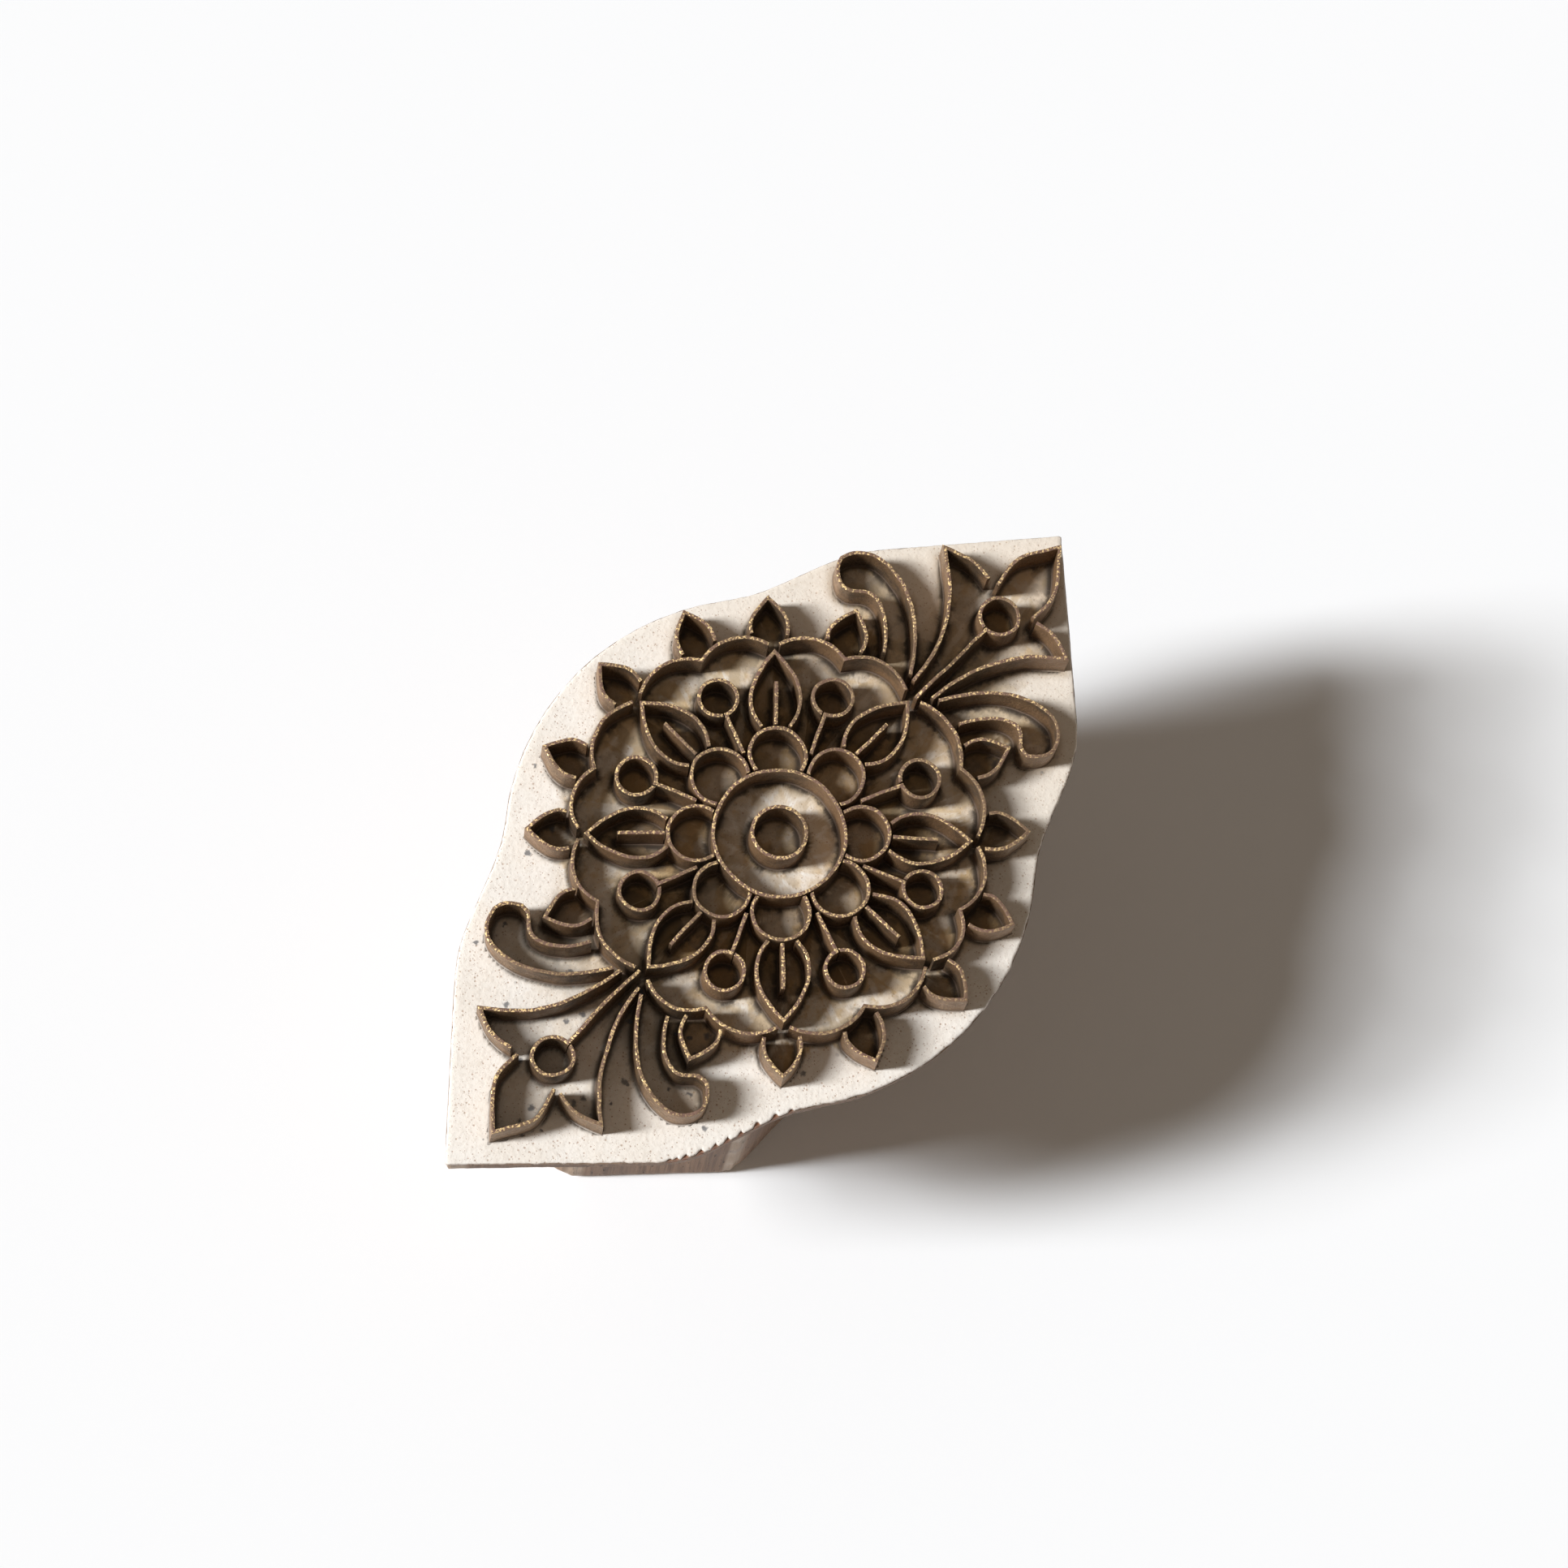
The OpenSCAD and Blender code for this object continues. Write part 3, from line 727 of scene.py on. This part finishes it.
def build_strip(node, look, material):
    """The bent strips of one node, with worn rims, standing in their slots."""
    points, faces, shut = [], [], []
    fence = shelter(look)[0]
    round_mm = look.edge_round / MM
    foot_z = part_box(node)[0].z / MM
    levels = [(z, 0.0) for z in (foot_z, *WALL_ROWS, RIM_Z - 1.6 * round_mm)]
    levels += [(RIM_Z - 0.45 * round_mm, 0.4 * round_mm), (RIM_Z, 1.3 * round_mm)]
    for group in strip_outlines(node, look):
        rims, feet = [], []
        for foot, top in group:
            count = len(foot)
            normals = inward(foot)
            start = len(points)
            shut += shut_walls(foot, normals, fence) * len(levels)
            filed = np.array([0.5 + 0.5 * drift(x, y, 1.3, 9.0) for x, y in top])
            for z, inset in levels:
                lift = max(0.0, (z - FACE_Z) / (RIM_Z - FACE_Z))
                ring = foot + (top - foot) * lift + normals * inset
                drop = 0.09 * filed if z > FILED_FROM else 0.0
                points.extend(np.column_stack([ring, np.full(count, z) - drop]))
            faces += ring_faces(start, len(levels), count)
            feet.append(list(range(start, start + count)))
            last = start + (len(levels) - 1) * count
            rims.append(list(range(last, last + count)))
        for rings, flip in ((rims, False), (feet, True)):
            flat = [i for ring in rings for i in ring]
            corners = [[Vector((*points[i][:2], 0.0)) for i in ring] for ring in rings]
            for tri in geometry.tessellate_polygon(corners):
                a, b, c = (flat[t] for t in tri)
                pa, pb, pc = points[a], points[b], points[c]
                up = (pb[0] - pa[0]) * (pc[1] - pa[1]) - (pb[1] - pa[1]) * (pc[0] - pa[0]) > 0
                faces.append((a, b, c) if up != flip else (a, c, b))
    made = new_piece(f"{node}_strip", points, faces, material, sharp_deg=38.0)
    add_mask(made, "shut", shut)
    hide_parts(node)
    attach(made, "root")


def outline_radii(node, z_mm, angles):
    """How far the outside of a solid is from the middle at a height, for each angle."""
    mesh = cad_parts[node].data
    tree = BVHTree.FromPolygons([v.co for v in mesh.vertices], [p.vertices for p in mesh.polygons])
    radii = []
    for angle in angles:
        way = Vector((math.cos(angle), math.sin(angle), 0.0))
        hit = tree.ray_cast(way * 0.2 + Vector((0.0, 0.0, z_mm * MM)), -way)[0]
        radii.append(math.hypot(hit.x, hit.y) / MM)
    return np.array(radii)


def chips():
    """Bites along the edge, closer together where the chipped stretch begins: way, half width, depth."""
    draw = random.Random(4)
    first, last = CHIPPED
    for i in range(CHIPS):
        share = (i + 0.5 + draw.uniform(-0.2, 0.2)) / CHIPS
        depth = 0.26 + 0.32 * math.sin(math.pi * share)
        yield math.radians(first + (last - first) * share ** 1.5), draw.uniform(0.30, 0.44), depth


def smudges(look):
    """Spots of dried dye about a millimetre from the outer strips: x, y and half width in millimetres."""
    draw = random.Random(6)
    beside = []
    for node in BUDS + FLEURS:
        for group in strip_outlines(node, look):
            foot = group[0][0]
            beside += [place for place in foot - inward(foot) if place[0] < SMUDGED_TO]
    for x, y in draw.sample(beside, SMUDGES):
        yield x + draw.uniform(-0.5, 0.5), y + draw.uniform(-0.5, 0.5), draw.uniform(0.22, 0.55)


def chip_depth(angles, radii):
    """How deep the chipped edge bites in at each angle, in millimetres."""
    depth = np.zeros(len(angles))
    x, y = radii * np.cos(angles), radii * np.sin(angles)
    for way, half, deep in chips():
        at = int(np.argmin(np.abs(angles - way)))
        along = np.hypot(x - x[at], y - y[at])
        depth = np.maximum(depth, deep * np.clip(1.5 - 1.3 * along / half, 0.0, 1.0))
    return depth


# Chalk at the edge of the face, outside last: how far in, how far down and how dark
CHALK_EDGE = ((0.30, 0.0, 0.0), (0.12, 0.04, 0.0), (0.0, 0.14, 0.5), (-0.03, 0.5, 1.0))
# Chalk against a strip: how far under its wall, or out from it if negative, how high, and how much of the
# dirt and painted shade close to the strips it takes
FILLET = ((0.06, 0.10, 1.0), (-0.04, 0.05, 1.0), (-0.10, 0.02, 0.95), (-0.22, -0.03, 0.8))


def add_fillet(foot, roll, fence, add):
    """The small rise of chalk where it was brushed up against a strip."""
    normals = inward(foot)
    closed = shut_walls(foot, normals, fence)
    for offset, rise, near in FILLET:
        for (x, y), shut in zip(foot + normals * offset, closed):
            lift = rise * (0.8 + 0.4 * drift(x, y, 0.9, 13.0))
            add(x, y, ground_z(x, y, roll) + lift, near, shut, 0.0)


def build_chalk(context):
    """The brushed ground: rings of points from the middle to the ragged edge, and a fillet at each strip."""
    look = context.scene.block_chalk
    brass = context.scene.block_brass
    roll = look.roll / MM
    angles = np.arange(AROUND) * 2 * math.pi / AROUND
    outer = outline_radii("chalk_ground", CHALK_CUT, angles)
    bitten = chip_depth(angles, outer)
    ragged = np.array([
        0.5 + 0.5 * drift(r * math.cos(a), r * math.sin(a), 1.1, 11.0)
        + 0.5 * max(0.0, drift(r * math.cos(a), r * math.sin(a), 0.45, 12.0))
        for r, a in zip(outer, angles)])
    rim = outer - 0.04 - (look.rim / MM) * (0.25 + 1.2 * ragged) - bitten
    fence, near = shelter(brass)
    points, foot_mask, shut, broken = [], [], [], []

    def add(x, y, z, foot, closed, edge):
        points.append((x, y, z))
        foot_mask.append(foot)
        shut.append(closed)
        broken.append(edge)

    def add_on_face(x, y, z, edge):
        gap = near.find((x, y, 0.0))[2]
        closed = 0.0 if edge > 0 or gap > 9.0 else shut_in(x, y, fence)
        add(x, y, z, max(0.0, 1.0 - gap / 1.9) * 0.8, closed, edge)

    add(0.0, 0.0, ground_z(0.0, 0.0, roll), 0.0, 0.8, 0.0)
    for share in (*np.linspace(0.02, 0.97, FACE_ROWS), 0.985):
        for a, r in zip(angles, rim):
            x, y = share * (r - 0.3) * math.cos(a), share * (r - 0.3) * math.sin(a)
            add_on_face(x, y, ground_z(x, y, roll), 0.0)
    bites = np.clip(bitten * 2.0, 0.0, 1.0)
    for back, drop, dark in CHALK_EDGE:
        for a, r, bite in zip(angles, rim, bites):
            x, y = (r - back) * math.cos(a), (r - back) * math.sin(a)
            add_on_face(x, y, ground_z(x, y, roll) - drop, max(dark * 0.6, bite * dark))
    rows = FACE_ROWS + 1 + len(CHALK_EDGE)
    under = len(points)
    add(0.0, 0.0, WOOD_Z - 0.1, 0.0, 0.0, 0.0)
    faces = fan(0, 1, AROUND) + ring_faces(1, rows, AROUND, turned=True)
    faces += fan(under, under - AROUND, AROUND, turned=True)
    for node in STRIPS:
        for group in strip_outlines(node, brass):
            for foot, _ in group:
                start = len(points)
                add_fillet(foot, roll, fence, add)
                faces += ring_faces(start, len(FILLET), len(foot), turned=True)
    made = new_piece("chalk_ground_brushed", points, faces, chalk_material(look, brass))
    add_mask(made, "foot", foot_mask)
    add_mask(made, "shut", shut)
    add_mask(made, "broken", broken)
    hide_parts("chalk_ground")
    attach(made, "root")


def build_wood(context):
    """The carved block: a fuzzy end, rings of points up the sides, and the edge under the chalk."""
    look = context.scene.block_wood
    carve = look.carve / MM
    count = AROUND
    angles = np.arange(count) * 2 * math.pi / count
    ways = np.column_stack([np.cos(angles), np.sin(angles)])
    # Rows of points up the sides, closest together near the handle's end and near the face
    heights = np.concatenate([
        [0.0, 0.12, 0.35, 0.7, 1.2], np.arange(2.0, 16.0, 1.0), np.arange(16.0, 44.0, 0.5),
        np.arange(44.0, WOOD_Z - 0.3, 0.25), [WOOD_Z - 0.3, WOOD_Z - 0.1, WOOD_Z]])
    rings, worn, broken = [], [], []
    for z in heights:
        radii = outline_radii("wood_block", min(max(z, WOOD_CUTS[0]), WOOD_CUTS[1]), angles)
        ring = ways * radii[:, None]
        step = max(2, int(round(1.3 / (radii.mean() * 2 * math.pi / count))))
        middle = 0.5 * (np.roll(ring, step, 0) + np.roll(ring, -step, 0))
        bulge = ((ring - middle) * ways).sum(1)
        edge = np.clip((bulge - 0.06) / 0.22, 0.0, 1.0)
        below = WOOD_Z - z
        near_end = np.clip(1.0 - z / 1.6, 0.0, 1.0)
        near_face = np.clip(1.0 - below / 0.7, 0.0, 1.0)
        steady = 0.35 if below < 1.1 else 1.0
        depth = np.zeros(count)
        for i, (x, y) in enumerate(ring):
            cut = 0.5 + 0.5 * noise.noise(Vector((x / 3.5, y / 3.5, z / 14.0)))
            nick = 0.5 + 0.5 * noise.noise(Vector((x / 0.9 + 7.0, y / 0.9, z / 5.0)))
            depth[i] = carve * steady * (cut ** 2 * 0.8 + 0.25 * nick)
        depth += 0.28 * edge * (0.6 + 0.4 * np.sin(z * 0.9 + angles * 3.0))
        depth += 0.55 * near_end ** 2
        bites = chip_depth(angles, radii) if z > CHIPS_FROM else np.zeros(count)
        depth += 0.6 * bites * max(0.0, 1.0 - below / 1.1) + 0.05 * near_face
        broken.append(np.clip(bites * 2.5, 0.0, 1.0) * min(1.0, max(0.0, z - CHIPS_FROM) / 0.4))
        rings.append(np.column_stack([ring - ways * depth[:, None], np.full(count, z)]))
        worn.append(np.clip(edge + 0.8 * near_end + 0.35 * near_face, 0.0, 1.0))
    points = [(0.0, 0.0, 0.15)]
    for share in np.linspace(0.04, 0.985, END_ROWS):
        for x, y, _ in rings[0] * share:
            fuzz = 0.5 + 0.35 * drift(x, y, 0.9, 21.0) + 0.15 * drift(x, y, 4.0, 22.0)
            points.append((x, y, 0.35 * max(0.0, min(1.0, fuzz)) * min(1.0, (1.0 - share) * 12)))
    masks = [0.0] * len(points)
    chipped = [0.0] * len(points)
    for ring, mask, bite in zip(rings, worn, broken):
        points.extend(ring)
        masks.extend(mask)
        chipped.extend(bite)
    for share, drop in ((0.992, 0.03), (0.97, 0.12)):
        points.extend(np.column_stack([rings[-1][:, :2] * share, np.full(count, WOOD_Z - drop)]))
        masks.extend([0.2] * count)
        chipped.extend(broken[-1])
    rows = END_ROWS + len(heights) + 2
    top = len(points)
    points.append((0.0, 0.0, WOOD_Z - 0.12))
    masks.append(0.0)
    chipped.append(0.0)
    faces = fan(0, 1, count, turned=True) + ring_faces(1, rows, count) + fan(top, top - count, count)
    made = new_piece("wood_block_carved", points, faces, wood_material(look))
    add_mask(made, "worn", masks)
    add_mask(made, "broken", chipped)
    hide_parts("wood_block")
    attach(made, "root")


def brass_for(context):
    """The brass material, made once and shared by every strip."""
    made = bpy.data.materials.get("Tarnished brass")
    return made or brass_material(context.scene.block_brass)


class BLOCK_OT_stage(Operator):
    """Lays the table top, hangs the light and sets the camera"""

    bl_idname = "block.stage"
    bl_label = "Stage"

    def execute(self, context):
        setup = context.scene.block_studio
        corners = [(x * TABLE_HALF, y * TABLE_HALF, 0) for x, y in ((-1, -1), (1, -1), (1, 1), (-1, 1))]
        floor = new_piece("table_top", corners, [(0, 1, 2, 3)], floor_material(setup.floor))
        for i, height in enumerate(PANES):
            self.pane(context, f"window_pane_{i + 1}", setup, math.radians(height))
        self.world(context, setup)
        self.camera(context)
        context.scene.view_settings.view_transform = "Standard"
        return {"FINISHED"}

    def pane(self, context, name, setup, rise):
        """One pane of the window; all panes light the table top equally."""
        lamp = bpy.data.lights.new(name, "SUN")
        lamp.energy = setup.sun / len(PANES) / math.sin(rise)
        lamp.angle, lamp.color = setup.sun_size, (0.945, 0.973, 1.0)
        sun = bpy.data.objects.new(name, lamp)
        turn = math.radians(WINDOW_TURN)
        to_sun = Vector((math.cos(rise) * math.cos(turn), math.cos(rise) * math.sin(turn), math.sin(rise)))
        sun.rotation_mode = "QUATERNION"
        sun.rotation_quaternion = to_sun.to_track_quat("Z", "Y")
        context.scene.collection.objects.link(sun)

    def world(self, context, setup):
        sky = bpy.data.worlds.new("room")
        sky.use_nodes = True
        context.scene.world = sky
        shop = Shop(sky.node_tree)
        soft = sky.node_tree.nodes["Background"]
        soft.inputs["Color"].default_value = (1.0, 0.84, 0.68, 1.0)
        soft.inputs["Strength"].default_value = setup.fill
        white = shop.node("Background")
        white.inputs["Color"].default_value = (1.0, 1.0, 1.0, 1.0)
        white.inputs["Strength"].default_value = 1.0
        rays = shop.node("LightPath").outputs
        seen = shop.work("MAXIMUM", rays["Is Camera Ray"], rays["Is Glossy Ray"])
        seen = shop.work("MAXIMUM", seen, rays["Is Transmission Ray"])
        both = shop.node("MixShader")
        shop.put(both.inputs[0], seen)
        sky.node_tree.links.new(soft.outputs[0], both.inputs[1])
        sky.node_tree.links.new(white.outputs[0], both.inputs[2])
        sky.node_tree.links.new(both.outputs[0], sky.node_tree.nodes["World Output"].inputs["Surface"])

    def camera(self, context):
        lens = bpy.data.cameras.new("camera")
        lens.lens, lens.sensor_width = LENS, 36.0
        lens.clip_start, lens.clip_end = 0.01, 20.0
        seat = bpy.data.objects.new("camera", lens)
        stand, aim = Vector(CAMERA_AT), Vector(CAMERA_AIM)
        seat.rotation_mode = "QUATERNION"
        seat.location = stand
        roll = Quaternion((0.0, 0.0, 1.0), math.radians(CAMERA_ROLL))
        seat.rotation_quaternion = (aim - stand).to_track_quat("-Z", "Y") @ roll
        context.scene.collection.objects.link(seat)
        context.scene.camera = seat


class BLOCK_OT_wood(Operator):
    """Carves the block with its handle"""

    bl_idname = "block.wood"
    bl_label = "Wood"

    def execute(self, context):
        build_wood(context)
        return {"FINISHED"}


class BLOCK_OT_chalk(Operator):
    """Brushes the chalk ground on the face"""

    bl_idname = "block.chalk"
    bl_label = "Chalk ground"

    def execute(self, context):
        build_chalk(context)
        return {"FINISHED"}


class StripWork:
    """What the strip operators share: each builds the strips of its own nodes."""

    nodes = ()

    def execute(self, context):
        for node in self.nodes:
            build_strip(node, context.scene.block_brass, brass_for(context))
        return {"FINISHED"}


class BLOCK_OT_eye(StripWork, Operator):
    """Bends the two middle rings"""

    bl_idname = "block.eye"
    bl_label = "Middle rings"
    nodes = EYE


class BLOCK_OT_petals(StripWork, Operator):
    """Bends the eight petals round the ring"""

    bl_idname = "block.petals"
    bl_label = "Petals"
    nodes = PETALS


class BLOCK_OT_leaves(StripWork, Operator):
    """Bends the eight leaves and their veins"""

    bl_idname = "block.leaves"
    bl_label = "Leaves"
    nodes = LEAVES


class BLOCK_OT_berries(StripWork, Operator):
    """Bends the eight berries with their stems"""

    bl_idname = "block.berries"
    bl_label = "Berries"
    nodes = BERRIES


class BLOCK_OT_contours(StripWork, Operator):
    """Bends the lobed border of the rosette"""

    bl_idname = "block.contours"
    bl_label = "Border"
    nodes = CONTOURS


class BLOCK_OT_buds(StripWork, Operator):
    """Bends the fourteen buds round the border"""

    bl_idname = "block.buds"
    bl_label = "Buds"
    nodes = BUDS


class BLOCK_OT_fleurs(StripWork, Operator):
    """Bends the fleurs at the two points of the block"""

    bl_idname = "block.fleurs"
    bl_label = "Fleurs"
    nodes = FLEURS


OPERATORS = (BLOCK_OT_stage, BLOCK_OT_wood, BLOCK_OT_chalk, BLOCK_OT_eye, BLOCK_OT_petals,
             BLOCK_OT_leaves, BLOCK_OT_berries, BLOCK_OT_contours, BLOCK_OT_buds, BLOCK_OT_fleurs)


class BLOCK_PT_panel(Panel):
    """Lists the pieces of the block"""

    bl_idname = "BLOCK_PT_panel"
    bl_label = "Printing block"
    bl_space_type = "VIEW_3D"
    bl_region_type = "UI"
    bl_category = "Printing block"

    def draw(self, context):
        for group in (context.scene.block_wood, context.scene.block_chalk,
                      context.scene.block_brass, context.scene.block_studio):
            box = self.layout.box()
            for name in group.bl_rna.properties.keys():
                if name not in ("rna_type", "name"):
                    box.prop(group, name)
        for operator in OPERATORS:
            self.layout.operator(operator.bl_idname)


GROUPS = (("block_wood", WoodFinish), ("block_chalk", ChalkFinish),
          ("block_brass", BrassFinish), ("block_studio", StudioSetup))


def register():
    for name, group in GROUPS:
        bpy.utils.register_class(group)
        setattr(bpy.types.Scene, name, PointerProperty(type=group))
    for made in (*OPERATORS, BLOCK_PT_panel):
        bpy.utils.register_class(made)


def unregister():
    for made in (BLOCK_PT_panel, *reversed(OPERATORS)):
        bpy.utils.unregister_class(made)
    for name, group in reversed(GROUPS):
        delattr(bpy.types.Scene, name)
        bpy.utils.unregister_class(group)


def main():
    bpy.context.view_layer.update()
    register()
    make_groups()
    bpy.ops.block.stage()
    bpy.ops.block.wood()
    bpy.ops.block.chalk()
    bpy.ops.block.eye()
    bpy.ops.block.petals()
    bpy.ops.block.leaves()
    bpy.ops.block.berries()
    bpy.ops.block.contours()
    bpy.ops.block.buds()
    bpy.ops.block.fleurs()


if __name__ == "__main__":
    main()
